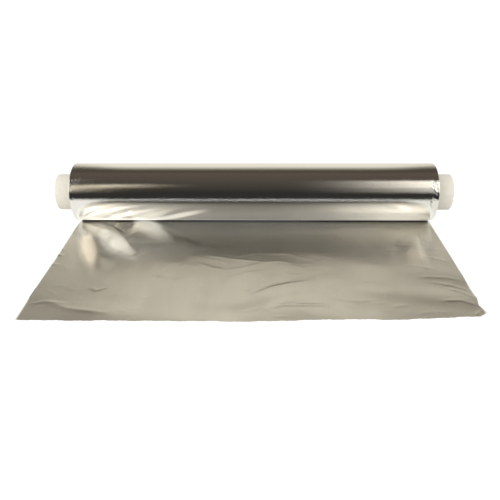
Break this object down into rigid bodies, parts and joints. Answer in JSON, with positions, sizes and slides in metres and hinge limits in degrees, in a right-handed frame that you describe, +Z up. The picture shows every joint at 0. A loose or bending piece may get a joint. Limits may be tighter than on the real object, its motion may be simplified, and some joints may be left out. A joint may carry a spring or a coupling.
{
  "type": "aluminium foil roll",
  "caption": "Catering roll of aluminium foil wound on an open paper core that stands out at both ends, lying on a table with a creased, torn-off length pulled out in front.",
  "frame": {"origin": "on the plane that the roll rests on, straight under the roll's axis, at the middle of its length", "axes": "+X along the roll's axis, +Y to the back, away from the pulled length, +Z up"},
  "size_m": [0.4948, 0.2697, 0.0719],
  "materials": {
    "core_paper": "matt white wound paper board",
    "foil_metal": "bright rolled foil outside, satin on the other side"
  },
  "bodies": {
    "root": {"core_tube": "core_paper", "foil": "foil_metal"}
  },
  "joints": []
}
